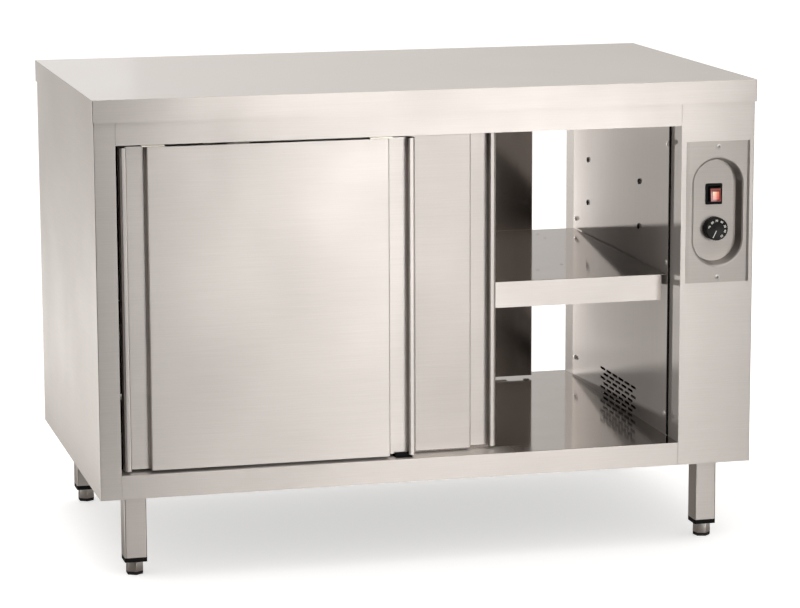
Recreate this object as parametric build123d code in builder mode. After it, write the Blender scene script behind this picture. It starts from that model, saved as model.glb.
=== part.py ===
from build123d import *
import os

# Pass-through plate warmer cabinet: a folded stainless cupboard on four legs, with two sliding
# doors on each long side, one shelf, and a control column at its right end.
# Frame: X runs to the right along the front, Y from the front to the back and Z up.
# The origin is on the ground, under the middle of the worktop. All sizes are millimetres.

os.makedirs("parts", exist_ok=True)

# Driving dimensions
cabinet_height = 850
worktop_width = 1200
worktop_depth = 700
worktop_edge = 40
body_width = 1196
body_depth = 690
body_bottom = 150
sheet = 1.5
bend = 2.0

opening_left = -560
opening_right = 460
opening_bottom = 192
opening_top = 770
jamb_depth = 56

door_width = 523
door_thickness = 22
door_bottom = 197.5
door_top = 765
door_sheet = 1.2
outer_door_face = 338
inner_door_face = 307
handle_lip = 12.5
handle_recess = 34.5
handle_depth = 17
closed_gap = 7.5
front_right_open = 325.9
rear_right_open = 81.5

shelf_top = 492
shelf_lip = 47

# Places that follow from them
body_top = cabinet_height - worktop_edge
body_height = body_top - body_bottom
body_left = -body_width / 2
body_right = body_width / 2
face_y = body_depth / 2
opening_middle = (opening_left + opening_right) / 2
opening_width = opening_right - opening_left
opening_height = opening_top - opening_bottom
stile_width = opening_left - body_left
column_width = body_right - opening_right
column_middle = (opening_right + body_right) / 2
seam = 0.4

wall_left = opening_left + 2
wall_right = opening_right - 2
wall_front = 281
wall_flange = 12
ceiling = opening_top + 2
base_level = body_bottom + 4
tray_clearance = 2


# ---------------------------------------------------------------- worktop
apron_return = 14

with BuildPart() as worktop:
    with BuildSketch(Plane.XY.offset(body_top)):
        Rectangle(worktop_width, worktop_depth)
    extrude(amount=worktop_edge)
    fillet(worktop.edges().filter_by(Axis.Z), radius=bend)
    fillet(worktop.faces().sort_by(Axis.Z)[-1].edges(), radius=1.2)
    with BuildSketch(Plane.XY.offset(body_top + sheet)):
        Rectangle(worktop_width - 2 * sheet, worktop_depth - 2 * sheet)
    extrude(amount=worktop_edge - 2 * sheet, mode=Mode.SUBTRACT)
    with BuildSketch(Plane.XY.offset(body_top)):
        Rectangle(worktop_width - 2 * apron_return, worktop_depth - 2 * apron_return)
    extrude(amount=sheet, mode=Mode.SUBTRACT)
worktop.part.label = "worktop"
export_step(worktop.part, "parts/worktop.step")

# Two hat channels, bonded to the underside of the worktop sheet.
stiffener_length = 1120
stiffener_width = 60
stiffener_height = 28
stiffener_spacing = 300

with BuildPart() as worktop_stiffeners:
    with BuildSketch(Plane.YZ.offset(-stiffener_length / 2)):
        with Locations((0, cabinet_height - sheet - stiffener_height / 2)):
            with GridLocations(stiffener_spacing, 0, 2, 1):
                Rectangle(stiffener_width, stiffener_height)
        with Locations((0, cabinet_height - sheet - stiffener_height / 2 + sheet)):
            with GridLocations(stiffener_spacing, 0, 2, 1):
                Rectangle(stiffener_width - 2 * sheet, stiffener_height, mode=Mode.SUBTRACT)
    extrude(amount=stiffener_length)
worktop_stiffeners.part.label = "worktop_stiffeners"
export_step(worktop_stiffeners.part, "parts/worktop_stiffeners.step")


# ---------------------------------------------------------------- outer body
# The left side is one folded sheet: the side, a stile on each long side and a deep jamb.
with BuildPart() as left_side_panel:
    with BuildSketch(Plane.XY.offset(body_bottom)):
        with Locations((body_left + stile_width / 2, 0)):
            Rectangle(stile_width, body_depth)
        with Locations((body_left + sheet + stile_width / 2, 0)):
            Rectangle(stile_width, body_depth - 2 * sheet, mode=Mode.SUBTRACT)
    extrude(amount=body_height)
    fillet(left_side_panel.edges().filter_by(Axis.Z).group_by(Axis.X)[0], radius=bend)
    with BuildSketch(Plane.XY.offset(opening_bottom - sheet)):
        with Locations((opening_left - sheet / 2, 0)):
            with GridLocations(0, body_depth - jamb_depth, 1, 2):
                Rectangle(sheet, jamb_depth)
    extrude(amount=opening_height + 2 * sheet)
left_side_panel.part.label = "left_side_panel"
export_step(left_side_panel.part, "parts/left_side_panel.step")

corner_return = 12

with BuildPart() as right_side_panel:
    with BuildSketch(Plane.XY.offset(body_bottom)):
        with Locations((body_right - sheet / 2, 0)):
            Rectangle(sheet, body_depth - 2 * corner_return - 2 * seam)
        with Locations((body_right - sheet - corner_return / 2, 0)):
            with GridLocations(0, body_depth - 2 * corner_return - 2 * seam - sheet, 1, 2):
                Rectangle(corner_return, sheet)
    extrude(amount=body_height)
right_side_panel.part.label = "right_side_panel"
export_step(right_side_panel.part, "parts/right_side_panel.step")


# Folded face of the control column, with its door jamb; outward is -1 in front and 1 behind.
def column_face(outward):
    with BuildPart() as face:
        with BuildSketch(Plane.XY.offset(body_bottom)):
            with Locations((column_middle, outward * (face_y - sheet / 2))):
                Rectangle(column_width, sheet)
            with Locations((body_right - sheet / 2, outward * (face_y - corner_return / 2))):
                Rectangle(sheet, corner_return)
        extrude(amount=body_height)
        corner = face.edges().filter_by(Axis.Z).group_by(Axis.X)[-1].sort_by(Axis.Y)
        fillet(corner[-1] if outward > 0 else corner[0], radius=bend)
        with BuildSketch(Plane.XY.offset(opening_bottom - sheet)):
            with Locations((opening_right + sheet / 2, outward * (face_y - jamb_depth / 2))):
                Rectangle(sheet, jamb_depth)
        extrude(amount=opening_height + 2 * sheet)
    return face.part


plate_x = 529.5
plate_z = 612.5
plate_width = 120
plate_height = 256
plate_screw_spacing = 237
screw_radius = 2
recess_width = 92
recess_height = 192
recess_depth = 25
recess_taper = 8
recess_bend = 4
bowl_clearance = 5

with BuildPart() as control_fascia:
    add(column_face(-1))
    with BuildSketch(Plane.XZ.offset(face_y)):
        with Locations((plate_x, plate_z)):
            SlotOverall(recess_height + 2 * bowl_clearance, recess_width + 2 * bowl_clearance, rotation=90)
            with GridLocations(0, plate_screw_spacing, 1, 2):
                Circle(screw_radius)
    extrude(amount=-sheet, mode=Mode.SUBTRACT)
control_fascia.part.label = "control_fascia"
export_step(control_fascia.part, "parts/control_fascia.step")

cover_width = 110
cover_height = 520
cover_z = 440
cover_overlap = 12
cover_screw_inset = 7
louvre_count = 8
louvre_pitch = 16

with BuildPart() as rear_fascia:
    add(column_face(1))
    with BuildSketch(Plane.XZ.offset(-face_y)):
        with Locations((column_middle, cover_z)):
            Rectangle(cover_width - 2 * cover_overlap, cover_height - 2 * cover_overlap)
            with GridLocations(cover_width - 2 * cover_screw_inset, cover_height - 2 * cover_screw_inset, 2, 2):
                Circle(screw_radius)
    extrude(amount=sheet, mode=Mode.SUBTRACT)
rear_fascia.part.label = "rear_fascia"
export_step(rear_fascia.part, "parts/rear_fascia.step")

with BuildPart() as service_cover:
    with BuildSketch(Plane.XZ.offset(-face_y - sheet)):
        with Locations((column_middle, cover_z)):
            RectangleRounded(cover_width, cover_height, 3)
            with GridLocations(cover_width - 2 * cover_screw_inset, cover_height - 2 * cover_screw_inset, 2, 2):
                Circle(screw_radius, mode=Mode.SUBTRACT)
        with Locations((column_middle, cover_z - cover_height / 4)):
            with GridLocations(0, louvre_pitch, 1, louvre_count):
                SlotOverall(60, 5, mode=Mode.SUBTRACT)
    extrude(amount=sheet)
service_cover.part.label = "service_cover"
export_step(service_cover.part, "parts/service_cover.step")


# The top rails are folded strips between the left stile and the control column.
rail_return = 14
rail_hem = 5

for rail_name, outward in (("front_top_rail", -1), ("rear_top_rail", 1)):
    with BuildPart() as top_rail:
        with BuildSketch(Plane.YZ.offset(opening_left + seam)):
            with Locations((outward * (face_y - sheet / 2), (opening_top + body_top) / 2)):
                Rectangle(sheet, body_top - opening_top)
            with Locations((outward * (face_y - rail_return / 2), body_top - sheet / 2)):
                Rectangle(rail_return, sheet)
            with Locations((outward * (face_y - rail_hem / 2), opening_top + sheet / 2)):
                Rectangle(rail_hem, sheet)
        extrude(amount=opening_width - 2 * seam)
    top_rail.part.label = rail_name
    export_step(top_rail.part, f"parts/{rail_name}.step")

# The floor of the compartment folds down in front and behind and forms both bottom rails.
with BuildPart() as floor_pan:
    with BuildSketch(Plane.YZ.offset(opening_left + seam)):
        with Locations((0, (body_bottom + opening_bottom) / 2)):
            Rectangle(body_depth, opening_bottom - body_bottom)
            Rectangle(body_depth - 2 * sheet, opening_bottom - body_bottom - 2 * sheet, mode=Mode.SUBTRACT)
        with Locations((0, body_bottom + sheet / 2)):
            Rectangle(body_depth - 2 * rail_return, sheet, mode=Mode.SUBTRACT)
    extrude(amount=opening_width - 2 * seam)
    fillet(floor_pan.faces().sort_by(Axis.Z)[-1].edges().filter_by(Axis.X), radius=1.2)
floor_pan.part.label = "floor_pan"
export_step(floor_pan.part, "parts/floor_pan.step")

gland_x = 530
gland_y = 205
gland_radius = 8
base_left = body_left + sheet + seam
base_right = body_right - sheet - corner_return - seam

with BuildPart() as base_panel:
    with BuildSketch(Plane.XY.offset(base_level)):
        with Locations(((base_left + base_right) / 2, 0)):
            Rectangle(base_right - base_left, body_depth - 2 * sheet - 2 * seam)
        with Locations((gland_x, gland_y)):
            Circle(gland_radius, mode=Mode.SUBTRACT)
    extrude(amount=sheet)
base_panel.part.label = "base_panel"
export_step(base_panel.part, "parts/base_panel.step")


# ---------------------------------------------------------------- compartment
with BuildPart() as ceiling_panel:
    with BuildSketch(Plane.YZ.offset(wall_left)):
        with Locations((0, ceiling + sheet / 2)):
            Rectangle(2 * wall_front, sheet)
        with Locations((0, (ceiling + body_top - sheet) / 2)):
            with GridLocations(2 * wall_front - sheet, 0, 2, 1):
                Rectangle(sheet, body_top - sheet - ceiling)
    extrude(amount=wall_right - wall_left)
ceiling_panel.part.label = "ceiling_panel"
export_step(ceiling_panel.part, "parts/ceiling_panel.step")

wall_height = ceiling - opening_bottom
wall_screw_y = 274
wall_screw_heights = (232, 512, 729)

with BuildPart() as left_inner_wall:
    with BuildSketch(Plane.XY.offset(opening_bottom)):
        with Locations((wall_left - sheet / 2, 0)):
            Rectangle(sheet, 2 * wall_front)
        with Locations((wall_left - wall_flange / 2, 0)):
            with GridLocations(0, 2 * wall_front - sheet, 1, 2):
                Rectangle(wall_flange, sheet)
    extrude(amount=wall_height)
    with BuildSketch(Plane.YZ.offset(wall_left)):
        for height in wall_screw_heights:
            with Locations((-wall_screw_y, height), (wall_screw_y, height)):
                Circle(screw_radius)
    extrude(amount=-sheet, mode=Mode.SUBTRACT)
left_inner_wall.part.label = "left_inner_wall"
export_step(left_inner_wall.part, "parts/left_inner_wall.step")

# Hot air leaves the control column through six staggered rows of slots above the floor.
vent_slot_length = 31
vent_slot_height = 5
vent_slot_pitch = 37
vent_row_pitch = 9.4
vent_first_row = 197
vent_rows = 6
vent_slots = 6
bracket_hole_radius = 4
bracket_holes_y = (-114, 198)
bracket_holes_z = (555, 639)
partition_back = face_y - jamb_depth

with BuildPart() as partition_wall:
    with BuildSketch(Plane.XY.offset(opening_bottom)):
        with Locations((wall_right + sheet / 2, (partition_back - wall_front) / 2)):
            Rectangle(sheet, partition_back + wall_front)
        with Locations((wall_right + wall_flange / 2, -wall_front + sheet / 2)):
            Rectangle(wall_flange, sheet)
    extrude(amount=wall_height)
    with BuildSketch(Plane.YZ.offset(wall_right)):
        for row in range(vent_rows):
            with Locations((0, vent_first_row + row * vent_row_pitch)):
                with GridLocations(vent_slot_pitch, 0, vent_slots - (row + 1) % 2, 1):
                    SlotOverall(vent_slot_length, vent_slot_height)
        for height in wall_screw_heights:
            with Locations((-wall_screw_y, height), (wall_screw_y, height)):
                Circle(screw_radius)
        for height in bracket_holes_z:
            with Locations(*[(along, height) for along in bracket_holes_y]):
                Circle(bracket_hole_radius)
    extrude(amount=sheet, mode=Mode.SUBTRACT)
partition_wall.part.label = "partition_wall"
export_step(partition_wall.part, "parts/partition_wall.step")

# The shelf is a tray turned upside down: long lips stop short of its ends.
shelf_left = wall_left + tray_clearance
shelf_right = wall_right - tray_clearance
shelf_middle = (shelf_left + shelf_right) / 2
shelf_width = shelf_right - shelf_left
shelf_depth = 564
lip_end_gap = 10
lip_return = 10
side_flange = 20
shelf_hole_radius = 2.5
shelf_holes = ((414, 223), (414, 173), (354, -129), (293, -179))

with BuildPart() as shelf:
    with BuildSketch(Plane.XY.offset(shelf_top - sheet)):
        with Locations((shelf_middle, 0)):
            Rectangle(shelf_width, shelf_depth)
        for offset_x, hole_y in shelf_holes:
            with Locations((shelf_middle + offset_x, hole_y), (shelf_middle - offset_x, hole_y)):
                Circle(shelf_hole_radius, mode=Mode.SUBTRACT)
    extrude(amount=sheet)
    with BuildSketch(Plane.YZ.offset(shelf_left + lip_end_gap)):
        with Locations((0, shelf_top - shelf_lip / 2)):
            with GridLocations(shelf_depth - sheet, 0, 2, 1):
                Rectangle(sheet, shelf_lip)
        with Locations((0, shelf_top - shelf_lip + sheet / 2)):
            with GridLocations(shelf_depth - lip_return, 0, 2, 1):
                Rectangle(lip_return, sheet)
    extrude(amount=shelf_width - 2 * lip_end_gap)
    with BuildSketch(Plane.XY.offset(shelf_top - side_flange)):
        with Locations((shelf_middle, 0)):
            with GridLocations(shelf_width - sheet, 0, 2, 1):
                Rectangle(sheet, shelf_depth - 60)
    extrude(amount=side_flange)
    fillet(shelf.faces().sort_by(Axis.Z)[-1].edges().filter_by(Axis.X), radius=1.2)
shelf.part.label = "shelf"
export_step(shelf.part, "parts/shelf.step")

# Four studs carry the shelf by the lower edges of its end flanges.
stud_radius = 5
stud_reach = 12
stud_y = 200
stud_z = shelf_top - side_flange - stud_radius

with BuildPart() as shelf_studs:
    with BuildSketch(Plane.YZ.offset(wall_left)):
        with Locations((0, stud_z)):
            with GridLocations(2 * stud_y, 0, 2, 1):
                Circle(stud_radius)
    extrude(amount=stud_reach)
    with BuildSketch(Plane.YZ.offset(wall_right)):
        with Locations((0, stud_z)):
            with GridLocations(2 * stud_y, 0, 2, 1):
                Circle(stud_radius)
    extrude(amount=-stud_reach)
shelf_studs.part.label = "shelf_studs"
export_step(shelf_studs.part, "parts/shelf_studs.step")


# ---------------------------------------------------------------- door running gear
# Each long side has one double track over its two doors. A door hangs from two wheels
# that roll on a ledge of the track, and a guide on the floor keeps its lower edge in line.
wheel_radius = 11
wheel_width = 5
axle_radius = 2.5
axle_clearance = 0.05
ledge_top = 778
rolling_gap = 0.3
wheel_z = ledge_top + wheel_radius + rolling_gap
hanger_inset = 60
hanger_width = 40
hanger_plate = 2
hanger_plane = 10
wheel_plane = 4.5
track_wall = 2
track_top = body_top - sheet - track_wall
ledge_reach = 9.5
ledge_bead = 1.5

with BuildPart() as door_tracks:
    for outward in (-1, 1):
        with BuildSketch(Plane.YZ.offset(wall_left)):
            crown_outer = outer_door_face + 1
            crown_inner = inner_door_face - 17
            with Locations((outward * (crown_outer + crown_inner) / 2, track_top + track_wall / 2)):
                Rectangle(crown_outer - crown_inner, track_wall)
            for door_face in (outer_door_face, inner_door_face):
                web_y = outward * door_face
                with Locations((web_y, (ledge_top - track_wall + track_top) / 2)):
                    Rectangle(track_wall, track_top - ledge_top + track_wall)
                with Locations((web_y - outward * (ledge_reach / 2), ledge_top - track_wall / 2)):
                    Rectangle(ledge_reach, track_wall)
                with Locations((web_y - outward * (ledge_reach - 0.5), ledge_top + ledge_bead / 2 - 0.5)):
                    Rectangle(1, ledge_bead + 1)
        extrude(amount=wall_right - wall_left)
door_tracks.part.label = "door_tracks"
export_step(door_tracks.part, "parts/door_tracks.step")

left_limit = opening_left + closed_gap
right_limit = opening_right - closed_gap
stop_length = 8
stop_height = 10
left_stop = left_limit + hanger_inset - wheel_radius - 0.5 - stop_length
right_stop = right_limit - hanger_inset + wheel_radius + 0.5

with BuildPart() as track_stops:
    for outward in (-1, 1):
        for door_face in (outer_door_face, inner_door_face):
            for stop_x in (left_stop, right_stop):
                with BuildSketch(Plane.XY.offset(ledge_top)):
                    with Locations((stop_x + stop_length / 2, outward * (door_face - track_wall / 2 - 3.5))):
                        Rectangle(stop_length, 6)
                extrude(amount=stop_height)
track_stops.part.label = "track_stops"
export_step(track_stops.part, "parts/track_stops.step")

guide_length = 30
guide_fin = 3
guide_height = 9
guide_base = 1.5

with BuildPart() as floor_guides:
    for outward in (-1, 1):
        with BuildSketch(Plane.XY.offset(opening_bottom)):
            with Locations((opening_middle, outward * (outer_door_face + inner_door_face - door_thickness) / 2)):
                Rectangle(guide_length, outer_door_face - inner_door_face + 12)
        extrude(amount=guide_base)
        with BuildSketch(Plane.XY.offset(opening_bottom)):
            for door_face in (outer_door_face, inner_door_face):
                with Locations((opening_middle, outward * (door_face - door_thickness / 2))):
                    Rectangle(guide_length, guide_fin)
        extrude(amount=guide_height)
floor_guides.part.label = "floor_guides"
export_step(floor_guides.part, "parts/floor_guides.step")


# ---------------------------------------------------------------- legs and feet
leg_width = 40
leg_inset_x = 48
leg_inset_y = 44
leg_bottom = 33
leg_wall = 1.5
leg_plate_width = 70
leg_plate_height = 3
leg_x = body_right - leg_inset_x - leg_width / 2
leg_y = face_y - leg_inset_y - leg_width / 2
foot_top = 24.7
foot_hexagon = 28
foot_pad_height = 4.5
foot_stud_radius = 5
foot_stud_top = 98
insert_rim = 8
insert_depth = 25
thread_clearance = 0.08

with BuildPart() as legs:
    with BuildSketch(Plane.XY.offset(leg_bottom)):
        with GridLocations(2 * leg_x, 2 * leg_y, 2, 2):
            RectangleRounded(leg_width, leg_width, 3)
            RectangleRounded(leg_width - 2 * leg_wall, leg_width - 2 * leg_wall, 1.5, mode=Mode.SUBTRACT)
    extrude(amount=base_level - leg_plate_height - leg_bottom)
    with BuildSketch(Plane.XY.offset(base_level - leg_plate_height)):
        with GridLocations(2 * leg_x, 2 * leg_y, 2, 2):
            RectangleRounded(leg_plate_width, leg_plate_width, 5)
    extrude(amount=leg_plate_height)
legs.part.label = "legs"
export_step(legs.part, "parts/legs.step")

with BuildPart() as leg_inserts:
    with BuildSketch(Plane.XY.offset(leg_bottom - insert_rim)):
        with GridLocations(2 * leg_x, 2 * leg_y, 2, 2):
            RectangleRounded(leg_width, leg_width, 3)
    extrude(amount=insert_rim)
    with BuildSketch(Plane.XY.offset(leg_bottom)):
        with GridLocations(2 * leg_x, 2 * leg_y, 2, 2):
            RectangleRounded(leg_width - 2 * leg_wall, leg_width - 2 * leg_wall, 1.5)
    extrude(amount=insert_depth)
    with BuildSketch(Plane.XY.offset(leg_bottom - insert_rim)):
        with GridLocations(2 * leg_x, 2 * leg_y, 2, 2):
            Circle(foot_stud_radius + thread_clearance)
    extrude(amount=insert_rim + insert_depth, mode=Mode.SUBTRACT)
leg_inserts.part.label = "leg_inserts"
export_step(leg_inserts.part, "parts/leg_inserts.step")

feet_places = {
    "foot_front_left": (-leg_x, -leg_y),
    "foot_front_right": (leg_x, -leg_y),
    "foot_rear_left": (-leg_x, leg_y),
    "foot_rear_right": (leg_x, leg_y),
}
feet_turns = {"foot_front_left": 2, "foot_front_right": 12, "foot_rear_left": 2, "foot_rear_right": 12}

# A hexagon foot on a threaded stud, standing on a rubber pad of the same outline.
# Each foot stands at the turn of its thread that levels the cabinet.
for foot_name, foot_place in feet_places.items():
    with BuildPart() as foot:
        with BuildSketch(Plane.XY):
            with Locations(foot_place):
                RegularPolygon(foot_hexagon / 2, 6, major_radius=False, rotation=feet_turns[foot_name])
        extrude(amount=foot_top)
        chamfer(foot.faces().sort_by(Axis.Z)[0].edges(), length=1.5)
        with BuildSketch(Plane.XY.offset(foot_top)):
            with Locations(foot_place):
                Circle(foot_stud_radius)
        extrude(amount=foot_stud_top - foot_top)
    foot.part.label = foot_name
    export_step(foot.part, f"parts/{foot_name}.step")


# ---------------------------------------------------------------- controls
# The duct of the heating unit lies below the controls.
duct_back_radius = 32
duct_sheet = 1.2
duct_half_length = 114
duct_inner = duct_back_radius - duct_sheet
duct_front = wall_right + sheet
fan_x = 530
fan_z = 225

# The plate is pressed into a deep stadium with sloping sides; switch and knob sit on its floor.
# Its two long edges are bent a little backwards to lie tight on the fascia.
recess_floor = face_y + sheet - recess_depth
plate_front = Plane(origin=(plate_x, -face_y - sheet, plate_z), x_dir=(-1, 0, 0), z_dir=(0, 1, 0))
switch_x = 530
switch_z = 642
switch_opening = (27.5, 33.5)
knob_x = 531
knob_z = 580
knob_radius = 21
knob_depth = 18.5
knob_gap = 1
knob_bore = 12
spindle_radius = 3
bush_radius = 4.8

plate_bend = 5.5
plate_edge = 0.4

with BuildPart() as control_plate:
    with BuildSketch(Plane.XY.offset(plate_z - plate_height / 2)):
        with Locations((plate_x, -face_y)):
            Polygon(
                (-plate_width / 2, 0),
                (-plate_width / 2, -plate_edge),
                (-plate_width / 2 + plate_bend, -sheet),
                (plate_width / 2 - plate_bend, -sheet),
                (plate_width / 2, -plate_edge),
                (plate_width / 2, 0),
                align=None,
            )
    extrude(amount=plate_height)
    with BuildSketch(plate_front):
        SlotOverall(recess_height + 2 * sheet, recess_width + 2 * sheet, rotation=90)
    extrude(amount=recess_depth + sheet, taper=recess_taper)
    with BuildSketch(plate_front):
        SlotOverall(recess_height, recess_width, rotation=90)
    extrude(amount=recess_depth, taper=recess_taper, mode=Mode.SUBTRACT)
    mouth = control_plate.faces().sort_by(Axis.Y)[0].inner_wires()[0].edges()
    fillet(mouth, radius=recess_bend)
    plate_back = Plane(origin=(0, -face_y, 0), z_dir=(0, 1, 0))
    seat = control_plate.faces().filter_by(lambda face: plate_back.contains(face.center()) and face.inner_wires())
    fillet(seat[0].inner_wires()[0].edges(), radius=recess_bend - sheet)
    with BuildSketch(Plane.XZ.offset(recess_floor)):
        with Locations((switch_x, switch_z)):
            Rectangle(*switch_opening)
        with Locations((knob_x, knob_z)):
            Circle(bush_radius + 0.2)
    extrude(amount=-sheet, mode=Mode.SUBTRACT)
    with BuildSketch(Plane.XZ.offset(face_y + sheet)):
        with Locations((plate_x, plate_z)):
            with GridLocations(0, plate_screw_spacing, 1, 2):
                Circle(screw_radius)
    extrude(amount=-sheet, mode=Mode.SUBTRACT)
control_plate.part.label = "control_plate"
export_step(control_plate.part, "parts/control_plate.step")

bezel_width = 31
bezel_height = 38
bezel_thickness = 2.5
housing_depth = 21
rocker_pocket = (23, 29)
rocker_pocket_depth = 19
rocker_pivot = recess_floor - 3.5
rocker_pin_radius = 1.5
rocker_pin_length = 25.5

with BuildPart() as switch_housing:
    with BuildSketch(Plane.XZ.offset(recess_floor)):
        with Locations((switch_x, switch_z)):
            RectangleRounded(bezel_width, bezel_height, 2)
    extrude(amount=bezel_thickness)
    with BuildSketch(Plane.XZ.offset(recess_floor)):
        with Locations((switch_x, switch_z)):
            Rectangle(26.5, 32.5)
    extrude(amount=-housing_depth)
    with BuildSketch(Plane.XZ.offset(recess_floor + bezel_thickness)):
        with Locations((switch_x, switch_z)):
            Rectangle(*rocker_pocket)
    extrude(amount=-rocker_pocket_depth, mode=Mode.SUBTRACT)
    with BuildSketch(Plane.XZ.offset(recess_floor - housing_depth)):
        with Locations((switch_x, switch_z)):
            with GridLocations(14, 14, 2, 2):
                Rectangle(6.3, 0.8)
    extrude(amount=-8)
    with BuildSketch(Plane.YZ.offset(switch_x)):
        with Locations((-rocker_pivot, switch_z)):
            Circle(rocker_pin_radius + axle_clearance)
    extrude(amount=rocker_pin_length / 2 + axle_clearance, both=True, mode=Mode.SUBTRACT)
switch_housing.part.label = "switch_housing"
export_step(switch_housing.part, "parts/switch_housing.step")

# The rocker stands tilted: its upper half is pressed in while the cabinet is on.
rocker_tilt = 8
rocker_front = Vector(0, -1, 0).rotate(Axis.X, -rocker_tilt)
rocker_plane = Plane(origin=(switch_x, -rocker_pivot, switch_z), x_dir=(1, 0, 0), z_dir=rocker_front)

with BuildPart() as switch_rocker:
    with BuildSketch(rocker_plane.offset(-4)):
        Rectangle(18, 14)
    extrude(amount=7)
    with BuildSketch(rocker_plane.offset(2)):
        Rectangle(21.5, 26)
    extrude(amount=4)
    with BuildSketch(rocker_plane.offset(6)):
        Rectangle(21.5, 26)
    with BuildSketch(rocker_plane.offset(14)):
        Rectangle(15, 19)
    loft()
    with BuildSketch(Plane.YZ.offset(switch_x)):
        with Locations((-rocker_pivot, switch_z)):
            Circle(rocker_pin_radius)
    extrude(amount=rocker_pin_length / 2, both=True)
switch_rocker.part.label = "switch_rocker"
export_step(switch_rocker.part, "parts/switch_rocker.step")

with BuildPart() as thermostat_knob:
    with BuildSketch(Plane.XZ.offset(recess_floor + knob_gap)):
        with Locations((knob_x, knob_z)):
            Circle(knob_radius)
    extrude(amount=knob_depth)
    chamfer(thermostat_knob.faces().sort_by(Axis.Y)[0].edges(), length=1)
    with BuildSketch(Plane.XZ.offset(recess_floor + knob_gap)):
        with Locations((knob_x, knob_z)):
            Circle(spindle_radius + axle_clearance)
    extrude(amount=knob_bore, mode=Mode.SUBTRACT)
thermostat_knob.part.label = "thermostat_knob"
export_step(thermostat_knob.part, "parts/thermostat_knob.step")

spindle_length = 28

with BuildPart() as thermostat_spindle:
    with BuildSketch(Plane.XZ.offset(recess_floor + knob_gap + knob_bore)):
        with Locations((knob_x, knob_z)):
            Circle(spindle_radius)
    extrude(amount=-spindle_length)
thermostat_spindle.part.label = "thermostat_spindle"
export_step(thermostat_spindle.part, "parts/thermostat_spindle.step")

thermostat_back = recess_floor - sheet - 28

with BuildPart() as thermostat_body:
    with BuildSketch(Plane.XZ.offset(recess_floor - sheet)):
        with Locations((knob_x, knob_z)):
            Rectangle(36, 44)
    extrude(amount=-28)
    with BuildSketch(Plane.XZ.offset(recess_floor - sheet)):
        with Locations((knob_x, knob_z)):
            Circle(bush_radius)
    extrude(amount=sheet)
    with BuildSketch(Plane.XZ.offset(recess_floor)):
        with Locations((knob_x, knob_z)):
            Circle(spindle_radius + axle_clearance)
    extrude(amount=-18, mode=Mode.SUBTRACT)
thermostat_body.part.label = "thermostat_body"
export_step(thermostat_body.part, "parts/thermostat_body.step")

# The sensing bulb lies on top of the hot-air duct; a capillary joins it to the thermostat.
bulb_x = 480
bulb_radius = 3
bulb_z = fan_z + duct_back_radius + bulb_radius + 0.1
bulb_length = 80
capillary_radius = 1
capillary_bend = 14
capillary_drop_y = -255

with BuildPart() as thermostat_bulb:
    with BuildLine():
        capillary = FilletPolyline(
            (knob_x, -thermostat_back, knob_z - 12),
            (knob_x, capillary_drop_y, knob_z - 12),
            (knob_x, capillary_drop_y, bulb_z),
            (bulb_x, capillary_drop_y, bulb_z),
            (bulb_x, -60, bulb_z),
            radius=capillary_bend,
        )
    with BuildSketch(Plane(origin=capillary @ 0, z_dir=capillary % 0)):
        Circle(capillary_radius)
    sweep()
    with BuildSketch(Plane.XZ.offset(60)):
        with Locations((bulb_x, bulb_z)):
            Circle(bulb_radius)
    extrude(amount=-bulb_length)
thermostat_bulb.part.label = "thermostat_bulb"
export_step(thermostat_bulb.part, "parts/thermostat_bulb.step")


# ---------------------------------------------------------------- heating unit
# A cross-flow fan blows over a U-shaped heater and out through the slots of the partition.
impeller_radius = 26
blade_count = 20
blade_depth = 6
blade_sheet = 1
shaft_radius = 3
shaft_front = 117
shaft_length = 245
heater_x = 480
heater_radius = 4
heater_half_pitch = 14

with BuildPart() as blower_housing:
    with BuildSketch(Plane.XZ.offset(duct_half_length)):
        with BuildLine():
            Line((duct_front, fan_z - duct_back_radius), (fan_x, fan_z - duct_back_radius))
            ThreePointArc(
                (fan_x, fan_z - duct_back_radius),
                (fan_x + duct_back_radius, fan_z),
                (fan_x, fan_z + duct_back_radius),
            )
            Line((fan_x, fan_z + duct_back_radius), (duct_front, fan_z + duct_back_radius))
            Line((duct_front, fan_z + duct_back_radius), (duct_front, fan_z - duct_back_radius))
        make_face()
    extrude(amount=-2 * duct_half_length)
    with BuildSketch(Plane.XZ.offset(duct_half_length - duct_sheet)):
        with BuildLine():
            Line((duct_front, fan_z - duct_inner), (fan_x, fan_z - duct_inner))
            ThreePointArc(
                (fan_x, fan_z - duct_inner),
                (fan_x + duct_inner, fan_z),
                (fan_x, fan_z + duct_inner),
            )
            Line((fan_x, fan_z + duct_inner), (duct_front, fan_z + duct_inner))
            Line((duct_front, fan_z + duct_inner), (duct_front, fan_z - duct_inner))
        make_face()
    extrude(amount=-2 * (duct_half_length - duct_sheet), mode=Mode.SUBTRACT)
    with BuildSketch(Plane.YZ.offset(fan_x)):
        with Locations((0, fan_z)):
            Rectangle(180, 36)
    extrude(amount=duct_back_radius + 5, mode=Mode.SUBTRACT)
    with BuildSketch(Plane.XZ.offset(-duct_half_length)):
        with Locations((fan_x, fan_z)):
            Circle(shaft_radius + 1)
        with Locations((heater_x, fan_z)):
            with GridLocations(0, 2 * heater_half_pitch, 1, 2):
                Circle(heater_radius + 0.1)
    extrude(amount=duct_sheet, mode=Mode.SUBTRACT)
    with BuildSketch(Plane.XZ.offset(duct_half_length)):
        with Locations((fan_x, fan_z)):
            Circle(shaft_radius + axle_clearance)
    extrude(amount=-duct_sheet, mode=Mode.SUBTRACT)
blower_housing.part.label = "blower_housing"
export_step(blower_housing.part, "parts/blower_housing.step")

impeller_half_length = 104

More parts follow.
